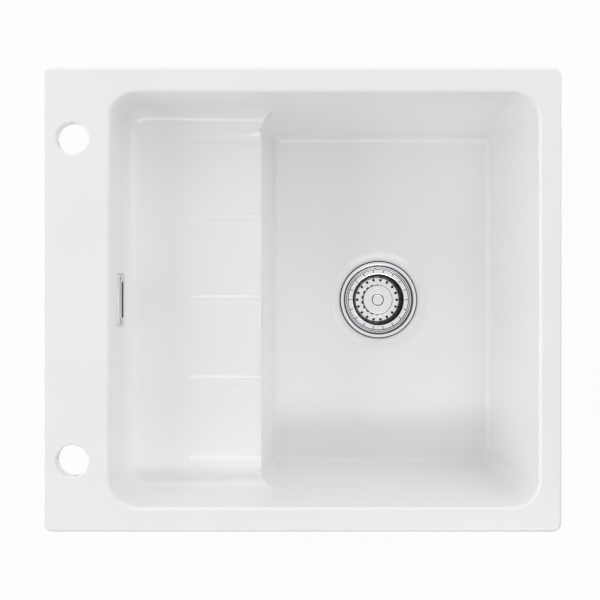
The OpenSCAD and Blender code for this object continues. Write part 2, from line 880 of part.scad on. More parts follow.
// Cover plate over the overflow, with its slot and two countersinks
module overflow_cover() {
    corner = 3;
    edge = 0.4;
    color(polished_steel)
        on_overflow_wall()
            difference() {
                union() {
                    wall_plate(cover_length, cover_height, corner, cover_sheet - edge);
                    translate([cover_sheet - edge, 0, 0])
                        wall_plate(cover_length - 2 * edge, cover_height - 2 * edge, corner - edge,
                            edge);
                }
                translate([-past, 0, -slot_drop])
                    wall_plate(slot_length, slot_height, slot_height / 2 - end_flat,
                        cover_sheet + 2 * past);
                at_cover_screws() {
                    translate([-past, 0, 0])
                        rotate([0, 90, 0])
                            cylinder(h = cover_sheet + 2 * past, r = cover_screw_r + seated_play);
                    translate([cover_sheet - countersink, 0, 0])
                        rotate([0, 90, 0])
                            cylinder(h = countersink, r1 = cover_screw_r + seated_play,
                                r2 = cover_head_r + seated_play);
                }
            }
}

// Repeats what follows at the cover's two screws
module at_cover_screws() {
    for (side = [-1, 1])
        translate([0, side * cover_screw_spacing / 2, cover_screw_rise])
            children();
}

// Two countersunk screws that hold the cover and the overflow box against the wall
module overflow_cover_screws() {
    tip = -wall - box_seal - cover_screw_grip;
    slot = 0.8;
    slot_depth = 0.6;
    color(dull_steel)
        on_overflow_wall()
            at_cover_screws()
                difference() {
                    union() {
                        translate([cover_sheet - countersink, 0, 0])
                            rotate([0, 90, 0])
                                cylinder(h = countersink, r1 = cover_screw_r, r2 = cover_head_r);
                        translate([tip, 0, 0])
                            rotate([0, 90, 0])
                                cylinder(h = cover_sheet - countersink - tip, r = cover_screw_r);
                    }
                    translate([cover_sheet - slot_depth, -cover_head_r - past, -slot / 2])
                        cube([slot_depth + past, 2 * (cover_head_r + past), slot]);
                }
}

// Box behind the wall that gathers the overflow, with two screw bosses and a spigot
module overflow_box() {
    face = -wall - box_seal;
    body_width = box_width - 2 * box_flange_side;
    body_height = box_height - 2 * box_flange_top;
    spigot_end = -box_height / 2 - spigot_length;
    color(grey_plastic)
        on_overflow_wall()
            difference() {
                union() {
                    translate([face - box_depth, 0, 0])
                        wall_plate(body_width, body_height, box_corner_r, box_depth);
                    translate([face - box_flange, 0, 0])
                        wall_plate(box_width, box_height, box_corner_r, box_flange);
                    translate([box_middle, 0, spigot_end])
                        cylinder(h = spigot_length + box_flange_top + box_wall / 2, r = spigot_r);
                }
                difference() {
                    translate([face - box_depth + box_wall, 0, 0])
                        wall_plate(body_width - 2 * box_wall, body_height - 2 * box_wall,
                            box_corner_r - box_wall, box_depth);
                    at_cover_screws()
                        translate([face - box_depth, 0, 0])
                            rotate([0, 90, 0])
                                cylinder(h = box_depth, r = box_boss_r);
                }
                at_cover_screws()
                    translate([face - cover_screw_grip - past, 0, 0])
                        rotate([0, 90, 0])
                            cylinder(h = cover_screw_grip + 2 * past, r = cover_screw_r + seated_play);
                translate([box_middle, 0, spigot_end - past])
                    cylinder(h = spigot_length + box_flange_top + box_wall + 2 * past, r = hose_bore);
            }
}

// Soft frame between the overflow box and the ceramic
module overflow_box_seal() {
    color(black_rubber)
        on_overflow_wall()
            translate([-wall - box_seal, 0, 0])
                difference() {
                    wall_plate(box_width, box_height, box_corner_r, box_seal);
                    translate([-past, 0, 0])
                        wall_plate(box_width - 2 * box_seal_border,
                            box_height - 2 * box_seal_border, box_corner_r - box_wall,
                            box_seal + 2 * past);
                }
}

// Ribbed hose: one tube along the hose's middle line, its bore smooth and its outside ribbed
module overflow_hose() {
    rib = (hose_length - 2 * hose_plain) / hose_ribs;
    crests = [for (i = [0 : hose_ribs - 1]) hose_plain + i * rib];
    outside = concat(
        [[0, hose_cuff_r]],
        [for (s = crests) each [[s + 0.1 * rib, hose_cuff_r], [s + 0.5 * rib, hose_rib_r]]],
        [[hose_length - hose_plain + 0.1 * rib, hose_cuff_r], [hose_length, hose_cuff_r]]
    );
    inside = concat(
        [[hose_length, hose_bore]],
        [for (i = [hose_ribs : -3 : 0]) [hose_plain + i * rib, hose_bore]],
        [[0, hose_bore]]
    );
    rings = concat(outside, inside);
    n = len(rings);
    points = [for (ring = rings) each hose_ring(ring[0], ring[1])];
    faces = [for (k = [0 : n - 1], i = [0 : hose_sides - 1])
        let (
            j = (i + 1) % hose_sides,
            here = k * hose_sides,
            next = ((k + 1) % n) * hose_sides
        )
        each [[here + i, next + j, here + j], [here + i, next + i, next + j]]];
    color(grey_plastic)
        polyhedron(points, faces, convexity = 10);
}

// Union nut: its bore runs on a spigot, its collar holds the hose's plain end
module hose_nut() {
    rib_root = 0.6;
    difference() {
        union() {
            cylinder(h = nut_length, r = nut_r - nut_rib_height);
            for (i = [0 : nut_ribs - 1])
                rotate(360 * i / nut_ribs)
                    translate([nut_r - nut_rib_height - rib_root, -nut_rib_width / 2, past])
                        cube([nut_rib_height + rib_root, nut_rib_width, nut_length - 2 * past]);
        }
        translate([0, 0, -past])
            cylinder(h = nut_length + 2 * past, r = hose_cuff_r + hose_play);
        translate([0, 0, nut_collar])
            cylinder(h = nut_length, r = spigot_r + seated_play);
    }
}

// Ring that the nut presses around the hose against the spigot's end
module hose_seal() {
    translate([0, 0, nut_collar])
        ring(hose_cuff_r + seated_play, spigot_r, hose_seal_length);
}

// Puts what follows on the box's spigot: z up into the spigot, from the nut's lower end
module at_upper_nut() {
    on_overflow_wall()
        translate([box_middle, 0, -box_height / 2 - spigot_length - hose_seal_length - nut_collar])
            children();
}

// Puts what follows on the waste's spigot: z along the spigot to the waste
module at_lower_nut() {
    translate([hose_end[0] - hose_seal_length - nut_collar, 0, hose_end[1]])
        rotate([0, 90, 0])
            children();
}

module upper_hose_nut() {
    color(white_plastic)
        at_upper_nut()
            hose_nut();
}

module upper_hose_seal() {
    color(black_rubber)
        at_upper_nut()
            hose_seal();
}

module lower_hose_nut() {
    color(white_plastic)
        at_lower_nut()
            hose_nut();
}

module lower_hose_seal() {
    color(black_rubber)
        at_lower_nut()
            hose_seal();
}

// Four plastic plugs in the lugs' blind holes
module clamp_plugs() {
    color(grey_plastic)
        for (place = clamp_places)
            translate([place[0], place[1] * clamp_y, -lug_height])
                difference() {
                    union() {
                        cylinder(h = plug_length, r = plug_r);
                        translate([0, 0, -plug_flange])
                            cylinder(h = plug_flange, r = plug_flange_r);
                    }
                    translate([0, 0, -plug_flange - past])
                        cylinder(h = plug_length, r = clamp_screw_r + seated_play);
                }
}

// Four screws, each with a wide slotted head under its bracket
module clamp_screws() {
    head_r = 2 * clamp_screw_r;
    slot = 1;
    slot_depth = 1.2;
    color(dull_steel)
        for (place = clamp_places)
            translate([place[0], place[1] * clamp_y, bracket_z])
                difference() {
                    union() {
                        translate([0, 0, -clamp_head])
                            cylinder(h = clamp_head, r = head_r);
                        cylinder(h = -bracket_z - lug_height + plug_length - screw_tip_gap,
                            r = clamp_screw_r);
                    }
                    translate([-head_r - past, -slot / 2, -clamp_head - past])
                        cube([2 * (head_r + past), slot, slot_depth + past]);
                }
}

// Steel bracket that swings on its screw, parked along the rim with its claw turned up
module clamp_bracket(number) {
    place = clamp_places[number - 1];
    color(dull_steel)
        translate([place[0], place[1] * clamp_y, bracket_z])
            mirror([place[0] < 0 ? 0 : 1, 0, 0]) {
                difference() {
                    union() {
                        cylinder(h = bracket_sheet, r = bracket_width / 2);
                        translate([0, -bracket_width / 2, 0])
                            cube([bracket_reach, bracket_width, bracket_sheet]);
                    }
                    translate([0, 0, -past])
                        cylinder(h = bracket_sheet + 2 * past, r = clamp_screw_r + turning_play);
                }
                translate([bracket_reach - bracket_sheet, -bracket_width / 2, 0])
                    cube([bracket_sheet, bracket_width, bracket_sheet + claw_height]);
            }
}

sink_basin();
strainer_flange();
flange_seal();
waste_body();
waste_body_seal();
centre_bolt();
strainer_basket();
basket_knob();
basket_stem();
basket_seal();
basket_seal_washer();
overflow_cover();
overflow_cover_screws();
overflow_box();
overflow_box_seal();
overflow_hose();
upper_hose_nut();
upper_hose_seal();
lower_hose_nut();
lower_hose_seal();
clamp_plugs();
clamp_screws();
clamp_bracket(1);  // clamp_bracket_1
clamp_bracket(2);  // clamp_bracket_2
clamp_bracket(3);  // clamp_bracket_3
clamp_bracket(4);  // clamp_bracket_4
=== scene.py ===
import math

import bpy
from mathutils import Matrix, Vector


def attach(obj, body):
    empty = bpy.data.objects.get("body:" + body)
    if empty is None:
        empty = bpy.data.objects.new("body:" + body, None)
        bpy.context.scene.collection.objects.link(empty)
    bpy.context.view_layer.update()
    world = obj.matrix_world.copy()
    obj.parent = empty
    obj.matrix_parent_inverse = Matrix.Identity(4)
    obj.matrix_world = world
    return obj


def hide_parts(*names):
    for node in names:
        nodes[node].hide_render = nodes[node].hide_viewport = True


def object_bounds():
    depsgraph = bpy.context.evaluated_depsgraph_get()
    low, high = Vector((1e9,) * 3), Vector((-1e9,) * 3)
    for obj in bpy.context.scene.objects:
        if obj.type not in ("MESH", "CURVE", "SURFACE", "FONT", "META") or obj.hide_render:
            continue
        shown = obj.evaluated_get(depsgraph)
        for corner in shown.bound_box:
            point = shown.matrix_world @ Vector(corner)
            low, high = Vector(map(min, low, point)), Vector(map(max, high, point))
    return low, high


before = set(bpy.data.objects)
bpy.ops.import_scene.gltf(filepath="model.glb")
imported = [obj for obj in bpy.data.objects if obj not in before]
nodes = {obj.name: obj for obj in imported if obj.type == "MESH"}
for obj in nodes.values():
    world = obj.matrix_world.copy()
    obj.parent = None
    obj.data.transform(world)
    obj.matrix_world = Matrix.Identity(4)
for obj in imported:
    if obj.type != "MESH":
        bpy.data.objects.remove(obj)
cad_low, cad_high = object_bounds()

# Basin: one piece of slip-cast vitreous ceramic, with its rim, drainer, bowl and tap holes.
# White glaze covers all that shows from above. The back stays bare, matt and a little buff,
# as it is where the piece stands in the kiln.
glaze_white = "#F9F8F9"
glaze_shade = "#F5F4F5"
bare_clay = "#D8D2C6"
bare_clay_dark = "#C9C2B4"


def linear(code):
    """Linear colour of an sRGB hex value."""
    parts = [int(code[i:i + 2], 16) / 255 for i in (1, 3, 5)]
    return [c / 12.92 if c <= 0.04045 else ((c + 0.055) / 1.055) ** 2.4 for c in parts] + [1]


def finish(name):
    """New material with its node tree and its shader."""
    material = bpy.data.materials.new(name)
    material.use_nodes = True
    return material, material.node_tree, material.node_tree.nodes["Principled BSDF"]


def add(tree, kind, settings, sockets):
    """Adds a node. A socket takes a value, or the output that feeds it."""
    made = tree.nodes.new(kind)
    for key, value in settings.items():
        setattr(made, key, value)
    for key, value in sockets.items():
        if isinstance(value, bpy.types.NodeSocket):
            tree.links.new(value, made.inputs[key])
        else:
            made.inputs[key].default_value = value
    return made


same_place = 0.00001
curve_angle = 32


def take_over(node, name, body, materials):
    """Stands a copy of a CAD node in its place: one closed skin, smooth where it is curved."""
    piece = nodes[node].copy()
    piece.data = nodes[node].data.copy()
    piece.name = name
    piece.parent = None
    for key in list(piece.keys()):
        del piece[key]
    bpy.context.scene.collection.objects.link(piece)
    bpy.ops.object.select_all(action="DESELECT")
    bpy.context.view_layer.objects.active = piece
    piece.select_set(True)
    bpy.ops.object.mode_set(mode="EDIT")
    bpy.ops.mesh.select_all(action="SELECT")
    bpy.ops.mesh.remove_doubles(threshold=same_place)
    bpy.ops.object.mode_set(mode="OBJECT")
    bpy.ops.object.shade_smooth_by_angle(angle=math.radians(curve_angle))
    piece.data.materials.clear()
    for material in materials:
        piece.data.materials.append(material)
    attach(piece, body)
    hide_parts(node)
    return piece


# White sanitary glaze with a soft gloss. It settles in very low waves some 6 mm long, which
# blur the highlights, and it lies a little thicker and greyer in places a hand wide.
glaze, tree, shader = finish("white_ceramic_glaze")
place = add(tree, "ShaderNodeTexCoord", {}, {}).outputs["Object"]
cloud = add(tree, "ShaderNodeTexNoise", {}, {"Vector": place, "Scale": 11, "Detail": 2})
tint = add(tree, "ShaderNodeMix", {"data_type": "RGBA"}, {
    0: cloud.outputs["Fac"], 6: linear(glaze_shade), 7: linear(glaze_white)})
waves = add(tree, "ShaderNodeTexNoise", {}, {"Vector": place, "Scale": 165, "Detail": 1})
relief = add(tree, "ShaderNodeBump", {}, {
    "Strength": 0.12, "Distance": 0.00012, "Height": waves.outputs["Fac"]})
tree.links.new(tint.outputs[2], shader.inputs["Base Color"])
tree.links.new(relief.outputs["Normal"], shader.inputs["Normal"])
shader.inputs["Roughness"].default_value = 0.22
shader.inputs["IOR"].default_value = 1.5
shader.inputs["Coat Weight"].default_value = 0.15
shader.inputs["Coat Roughness"].default_value = 0.2

# Bare fired clay: matt, with a grain of about 1.5 mm and faint patches from the mould.
clay, tree, shader = finish("bare_fired_clay")
place = add(tree, "ShaderNodeTexCoord", {}, {}).outputs["Object"]
patches = add(tree, "ShaderNodeTexNoise", {}, {"Vector": place, "Scale": 22, "Detail": 4})
tint = add(tree, "ShaderNodeMix", {"data_type": "RGBA"}, {
    0: patches.outputs["Fac"], 6: linear(bare_clay_dark), 7: linear(bare_clay)})
grain = add(tree, "ShaderNodeTexNoise", {}, {"Vector": place, "Scale": 650, "Detail": 3})
relief = add(tree, "ShaderNodeBump", {}, {
    "Strength": 0.35, "Distance": 0.0003, "Height": grain.outputs["Fac"]})
tree.links.new(tint.outputs[2], shader.inputs["Base Color"])
tree.links.new(relief.outputs["Normal"], shader.inputs["Normal"])
shader.inputs["Roughness"].default_value = 0.78

basin = take_over("sink_basin", "ceramic_basin", "basin", (glaze, clay))
# The drainer's outer wall goes round its two corners, whose middles are at these places. The
# wall starts this far from them under the rim, and leans inwards with its draft.
corner_x = -0.181
corner_y = 0.1975
wall_r = 0.03948
wall_draft = 0.1051
wall_end = -0.0245
rounding_top = -0.03974


def on_wall(point):
    """Whether a point lies on the drainer's outer wall, which ends where the bowl's begins."""
    away = math.hypot(min(point.x - corner_x, 0), max(abs(point.y) - corner_y, 0))
    return (point.x < wall_end + 0.0001
            and abs(away - wall_r - wall_draft * point.z) < 0.00005)


# In the CAD piece that wall runs on below the upper edge of its rounding and back again, without
# thickness. The fold is drawn up to that edge, and its end at the bowl is taken out and closed.
below = rounding_top - 0.00016
wall_points = [vertex for vertex in basin.data.vertices if on_wall(vertex.co)]
edge_places = [vertex.co.copy() for vertex in wall_points
               if abs(vertex.co.z - rounding_top) < 0.00002]
for vertex in wall_points:
    if vertex.co.z < below and vertex.co.x < wall_end - 0.0005:
        vertex.co = min(edge_places, key=lambda place: (place.xy - vertex.co.xy).length)
bpy.ops.object.mode_set(mode="EDIT")
bpy.ops.mesh.select_all(action="SELECT")
bpy.ops.mesh.remove_doubles(threshold=same_place)
bpy.ops.mesh.select_all(action="DESELECT")
bpy.ops.object.mode_set(mode="OBJECT")
for face in basin.data.polygons:
    corners = [basin.data.vertices[i].co for i in face.vertices]
    face.select = (all(on_wall(corner) for corner in corners)
                   and any(corner.z < below for corner in corners))
bpy.ops.object.mode_set(mode="EDIT")
bpy.ops.mesh.select_mode(type="FACE")
bpy.ops.mesh.delete(type="FACE")
bpy.ops.mesh.select_mode(type="EDGE")
bpy.ops.mesh.select_all(action="SELECT")
bpy.ops.mesh.fill_holes(sides=0)
bpy.ops.mesh.select_all(action="SELECT")
bpy.ops.mesh.normals_make_consistent(inside=False)
bpy.ops.object.mode_set(mode="OBJECT")
bpy.ops.object.shade_smooth_by_angle(angle=math.radians(curve_angle))
even = basin.modifiers.new("even_normals", "WEIGHTED_NORMAL")
even.keep_sharp = True
bpy.ops.object.modifier_apply(modifier=even.name)
# The back is what has ceramic above it; the glaze runs over everything that is open upwards
up = Vector((0, 0, 1))
clear_of_face = 0.0004
bpy.context.view_layer.update()
for face in basin.data.polygons:
    covered = basin.ray_cast(face.center + clear_of_face * face.normal, up)[0]
    face.material_index = 1 if covered else 0

# Drain flange: one sheet of stainless steel, pressed into a flat rim, a mouth and a cup, then
# polished. Below the cup a spoked hub takes the bolt that holds it to the waste.
# The polishing wheel leaves faint rings about the drain's axis.
drain_x = 0.098
bright_steel = "#E6E6E7"
bright_steel_dark = "#D3D4D6"
steel, tree, shader = finish("polished_stainless_steel")
place = add(tree, "ShaderNodeTexCoord", {}, {}).outputs["Object"]
centred = add(tree, "ShaderNodeMapping", {}, {
    "Vector": place, "Location": (-drain_x, 0, 0), "Scale": (1, 1, 0)})
radius = add(tree, "ShaderNodeVectorMath", {"operation": "LENGTH"}, {0: centred.outputs[0]})
rings = add(tree, "ShaderNodeTexNoise", {"noise_dimensions": "1D"}, {
    "W": radius.outputs["Value"], "Scale": 1400, "Detail": 2})
tint = add(tree, "ShaderNodeMix", {"data_type": "RGBA"}, {
    0: rings.outputs["Fac"], 6: linear(bright_steel_dark), 7: linear(bright_steel)})
relief = add(tree, "ShaderNodeBump", {}, {
    "Strength": 0.15, "Distance": 0.00005, "Height": rings.outputs["Fac"]})
tree.links.new(tint.outputs[2], shader.inputs["Base Color"])
tree.links.new(relief.outputs["Normal"], shader.inputs["Normal"])
shader.inputs["Metallic"].default_value = 1
shader.inputs["Roughness"].default_value = 0.15

# Steep walls and tight corners are out of the wheel's reach. They stay dull as drawn,
# with streaks down the wall some 0.7 mm apart. Their dark grey colour is painted shade: it
# makes the steep walls of the flange, the basket's pan and the knob look dark as if in shadow.
painted_shade_steel = "#6C6F73"
painted_shade_steel_dark = "#4E5155"
painted_shade_dull_steel, tree, shader = finish("drawn_steel_painted_shade")
place = add(tree, "ShaderNodeTexCoord", {}, {}).outputs["Object"]
pulled = add(tree, "ShaderNodeMapping", {}, {"Vector": place, "Scale": (1500, 1500, 90)})
streaks = add(tree, "ShaderNodeTexNoise", {}, {
    "Vector": pulled.outputs[0], "Scale": 1, "Detail": 2})
tint = add(tree, "ShaderNodeMix", {"data_type": "RGBA"}, {
    0: streaks.outputs["Fac"], 6: linear(painted_shade_steel_dark), 7: linear(painted_shade_steel)})
tree.links.new(tint.outputs[2], shader.inputs["Base Color"])
shader.inputs["Metallic"].default_value = 1
shader.inputs["Roughness"].default_value = 0.3

flange_r = 0.0486
flange_under = -0.178
flange_top = flange_under + 0.0012
mouth_r = 0.0433
mouth_floor = flange_under - 0.0065
cup_r = 0.0394
cup_floor = -0.208
cup_outlet_r = 0.024
steel_sheet = 0.0012
hub_low = -0.218
hub_high = -0.215
hub_r = 0.009
bolt_hole_r = 0.0041
spoke_count = 3
spoke_length = 0.0155


def turned(name, sides, profile):
    """Draws rings of a radius and a height about the drain's axis, one out of the other."""
    bpy.ops.object.select_all(action="DESELECT")
    bpy.ops.mesh.primitive_circle_add(
        vertices=sides, radius=profile[0][0], location=(drain_x, 0, profile[0][1]))
    piece = bpy.context.object
    piece.name = name
    bpy.ops.object.transform_apply(location=True, rotation=True, scale=True)
    bpy.ops.object.mode_set(mode="EDIT")
    bpy.ops.mesh.select_all(action="SELECT")
    for (last_r, last_z), (r, z) in zip(profile, profile[1:]):
        bpy.ops.mesh.extrude_region_move(TRANSFORM_OT_translate={"value": (0, 0, z - last_z)})
        bpy.ops.transform.resize(
            value=(r / last_r, r / last_r, 1), center_override=(drain_x, 0, 0))
    bpy.ops.object.mode_set(mode="OBJECT")
    return piece


def close_skin(piece):
    """Joins the ring that came back to the first one, and turns the faces outwards."""
    bpy.ops.object.mode_set(mode="EDIT")
    bpy.ops.mesh.select_all(action="SELECT")
    bpy.ops.mesh.remove_doubles(threshold=same_place)
    bpy.ops.mesh.normals_make_consistent(inside=False)
    bpy.ops.object.mode_set(mode="OBJECT")


def ease_edges(piece, width):
    """Rounds a piece's sharp edges, as pressing and polishing leave them."""
    bpy.context.view_layer.objects.active = piece
    eased = piece.modifiers.new("eased_edges", "BEVEL")
    eased.limit_method = "ANGLE"
    eased.angle_limit = math.radians(30)
    eased.width = width
    eased.segments = 2
    bpy.ops.object.modifier_apply(modifier=eased.name)
    bpy.ops.object.select_all(action="DESELECT")
    piece.select_set(True)
    bpy.ops.object.shade_smooth_by_angle(angle=math.radians(35))


def out_from_drain(point):
    """Distance of a point from the drain's axis."""
    return math.hypot(point.x - drain_x, point.y)


def paint_shade_on_steep_faces(piece, from_r, steep):
    """Gives a piece both steels: the dark one, whose colour is painted shade, where it is steep
    outside a radius, polished elsewhere.
    """
    piece.data.materials.append(steel)
    piece.data.materials.append(painted_shade_dull_steel)
    for face in piece.data.polygons:
        # Steep faces outside the radius get the steel with the painted shade
        painted_shade = out_from_drain(face.center) > from_r and abs(face.normal.z) < steep
        face.material_index = 1 if painted_shade else 0


flange = turned("drain_flange", 108, [
    (flange_r, flange_under), (flange_r, flange_top - 0.0005), (flange_r - 0.0005, flange_top),
    (mouth_r + 0.0014, flange_top), (mouth_r, flange_top - 0.0007), (mouth_r, mouth_floor),
    (cup_r, mouth_floor - 0.0015), (cup_r, cup_floor), (cup_outlet_r, cup_floor),
    (cup_outlet_r, hub_low), (cup_outlet_r + steel_sheet, hub_low),
    (cup_outlet_r + steel_sheet, cup_floor - steel_sheet),
    (cup_r + steel_sheet, cup_floor - steel_sheet),
    (cup_r + steel_sheet, mouth_floor - 0.0015 - steel_sheet),
    (mouth_r + steel_sheet, mouth_floor - steel_sheet), (mouth_r + steel_sheet, flange_under),
    (flange_r, flange_under)])
close_skin(flange)
hub = turned("drain_hub", 72, [
    (bolt_hole_r, hub_low), (hub_r, hub_low), (hub_r, hub_high), (bolt_hole_r, hub_high),
    (bolt_hole_r, hub_low)])
close_skin(hub)
# Each spoke is drawn out of the hub's rim until it stands in the cup's sleeve
for spoke in range(spoke_count):
    way = math.radians(360 / spoke_count * spoke)
    for face in hub.data.polygons:
        out = face.center - Vector((drain_x, 0, face.center.z))
        turn = math.degrees(math.atan2(out.y, out.x) - way)
        face.select = (out.length > hub_r - 0.0002 and abs(face.normal.z) < 0.1
                       and abs((turn + 180) % 360 - 180) < 15)
    bpy.context.tool_settings.mesh_select_mode = (False, False, True)
    bpy.ops.object.mode_set(mode="EDIT")
    bpy.ops.mesh.extrude_region_move(TRANSFORM_OT_translate={
        "value": (spoke_length * math.cos(way), spoke_length * math.sin(way), 0)})
    bpy.ops.object.mode_set(mode="OBJECT")
    bpy.context.tool_settings.mesh_select_mode = (True, False, False)
bpy.ops.object.select_all(action="DESELECT")
hub.select_set(True)
flange.select_set(True)
bpy.context.view_layer.objects.active = flange
bpy.ops.object.join()
ease_edges(flange, 0.00015)
paint_shade_on_steep_faces(flange, 0, 0.95)
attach(flange, "basin")
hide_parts("strainer_flange")

# Basket: thin stainless sheet, drawn into a pan with 18 punched holes round its floor, 18 lines
# pressed across its shoulder and two rings outside it. It lifts out by the knob to be emptied.
basket_floor = -0.2038
basket_under = -0.1827
basket_sheet = 0.0009
stem_hole_r = 0.00405
pan_floor_r = 0.0283
pan_foot_r = 0.0293
pan_side_r = 0.0334
shoulder_from = 0.0344
shoulder_r = 0.0384
ring_width = 0.002
ring_height = 0.0009
hole_from = 0.0244
hole_to = 0.0274
hole_step = 360 / 18
line_depth = 0.0006
basket = turned("strainer_basket_pan", 108, [
    (stem_hole_r, basket_floor), (hole_from, basket_floor), (hole_to, basket_floor),
    (pan_floor_r, basket_floor), (pan_foot_r, basket_floor + 0.001),
    (pan_side_r, basket_under - 0.0001), (shoulder_from, basket_under), (shoulder_r, basket_under),
    (shoulder_r + 0.55 * ring_width, basket_under + ring_height),
    (shoulder_r + ring_width, basket_under + ring_height),
    (shoulder_r + 1.55 * ring_width, basket_under + 2 * ring_height),
    (shoulder_r + 2 * ring_width, basket_under + 2 * ring_height)])


def off_line(point):
    """Degrees from a point to the nearest line of holes."""
    turn = math.degrees(math.atan2(point.y, point.x - drain_x))
    return abs((turn + hole_step / 2) % hole_step - hole_step / 2)


# Two faces on each line go, which leaves a hole 3 mm wide
for face in basket.data.polygons:
    face.select = (hole_from < out_from_drain(face.center) < hole_to
                   and off_line(face.center) < 2)
bpy.context.tool_settings.mesh_select_mode = (False, False, True)
bpy.ops.object.mode_set(mode="EDIT")
bpy.ops.mesh.delete(type="FACE")
bpy.ops.object.mode_set(mode="OBJECT")
bpy.context.tool_settings.mesh_select_mode = (True, False, False)


def pick_shoulder_lines():
    """Selects the points on the flat shoulder that lie on a line of holes."""
    for face in basket.data.polygons:
        face.select = False
    for edge in basket.data.edges:
        edge.select = False
    for vertex in basket.data.vertices:
        away = out_from_drain(vertex.co)
        vertex.select = (shoulder_from - 0.0002 < away < shoulder_r + 0.0002
                         and off_line(vertex.co) < 0.1)


# Each line on the shoulder is an edge that is split into a narrow V and pushed down
pick_shoulder_lines()
bpy.ops.object.mode_set(mode="EDIT")
bpy.ops.mesh.bevel(offset=line_depth, segments=2, affect="EDGES")
bpy.ops.object.mode_set(mode="OBJECT")
pick_shoulder_lines()
bpy.ops.object.mode_set(mode="EDIT")
bpy.ops.transform.translate(value=(0, 0, -line_depth))
bpy.ops.mesh.select_all(action="SELECT")
bpy.ops.mesh.normals_make_consistent(inside=False)
bpy.ops.object.mode_set(mode="OBJECT")
sheet = basket.modifiers.new("sheet", "SOLIDIFY")
sheet.thickness = basket_sheet
sheet.offset = -1
bpy.ops.object.modifier_apply(modifier=sheet.name)
ease_edges(basket, 0.0002)
paint_shade_on_steep_faces(basket, 0.0284, 0.97)
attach(basket, "basket")
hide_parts("strainer_basket")

# Knob: turned from stainless bar, with a round edge, a shallow dimple and a blind hole below
# for the stem.
knob_low = -0.1948
knob_high = -0.1888
knob_r = 0.019
knob_foot_r = 0.011
knob_flare_r = 0.0174
dimple_r = 0.0072
knob_edge = 0.0008
knob = turned("basket_knob_turned", 90, [
    (stem_hole_r, knob_low + 0.003), (stem_hole_r, knob_low), (knob_foot_r, knob_low),
    (knob_flare_r, -0.1912), (knob_r, -0.1904), (knob_r, -0.1896),
    (knob_r - knob_edge, knob_high), (dimple_r + knob_edge, knob_high),
    (dimple_r, knob_high - knob_edge), (dimple_r - knob_edge, knob_high - 0.0014)])
bpy.ops.object.mode_set(mode="EDIT")
bpy.ops.mesh.edge_face_add()
bpy.ops.mesh.select_all(action="DESELECT")
bpy.ops.mesh.select_non_manifold()
bpy.ops.mesh.edge_face_add()
bpy.ops.object.mode_set(mode="OBJECT")
close_skin(knob)
ease_edges(knob, 0.0003)
paint_shade_on_steep_faces(knob, 0, 0.8)
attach(knob, "basket")
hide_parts("basket_knob")

# Overflow cover: a flat stainless plate, brushed along its length, with a slot and two
# countersinks. Brush lines are about 0.3 mm apart, coarser than real ones so that they show.
brushed, tree, shader = finish("brushed_stainless_steel")
place = add(tree, "ShaderNodeTexCoord", {}, {}).outputs["Object"]
drawn = add(tree, "ShaderNodeMapping", {}, {"Vector": place, "Scale": (3200, 60, 3200)})
lines = add(tree, "ShaderNodeTexNoise", {}, {"Vector": drawn.outputs[0], "Scale": 1, "Detail": 2})
tint = add(tree, "ShaderNodeMix", {"data_type": "RGBA"}, {
    0: lines.outputs["Fac"], 6: linear(bright_steel_dark), 7: linear(bright_steel)})
relief = add(tree, "ShaderNodeBump", {}, {
    "Strength": 0.2, "Distance": 0.00004, "Height": lines.outputs["Fac"]})
tree.links.new(tint.outputs[2], shader.inputs["Base Color"])
tree.links.new(relief.outputs["Normal"], shader.inputs["Normal"])
shader.inputs["Metallic"].default_value = 1
shader.inputs["Roughness"].default_value = 0.28
take_over("overflow_cover", "overflow_cover_plate", "basin", (brushed,))

# Bolts, screws, stem, washer and clamp brackets: zinc-plated steel, duller than the strainer.
# The plating shows crystals some 3 mm across.
zinc_pale = "#B4B8BB"
zinc_dark = "#989DA1"
zinc, tree, shader = finish("zinc_plated_steel")
place = add(tree, "ShaderNodeTexCoord", {}, {}).outputs["Object"]
crystals = add(tree, "ShaderNodeTexVoronoi", {}, {"Vector": place, "Scale": 330})
tint = add(tree, "ShaderNodeMix", {"data_type": "RGBA"}, {
    0: crystals.outputs["Distance"], 6: linear(zinc_pale), 7: linear(zinc_dark)})
tree.links.new(tint.outputs[2], shader.inputs["Base Color"])
shader.inputs["Metallic"].default_value = 1
shader.inputs["Roughness"].default_value = 0.38
for node, name, body in (
        ("centre_bolt", "waste_bolt", "basin"),
        ("basket_stem", "basket_stem_rod", "basket"),
        ("basket_seal_washer", "basket_washer", "basket"),
        ("overflow_cover_screws", "overflow_screws", "basin"),
        ("clamp_bracket_1", "bracket_left_back", "bracket_1"),
        ("clamp_bracket_2", "bracket_left_front", "bracket_2"),
        ("clamp_bracket_3", "bracket_right_back", "bracket_3"),
        ("clamp_bracket_4", "bracket_right_front", "bracket_4")):
    take_over(node, name, body, (zinc,))


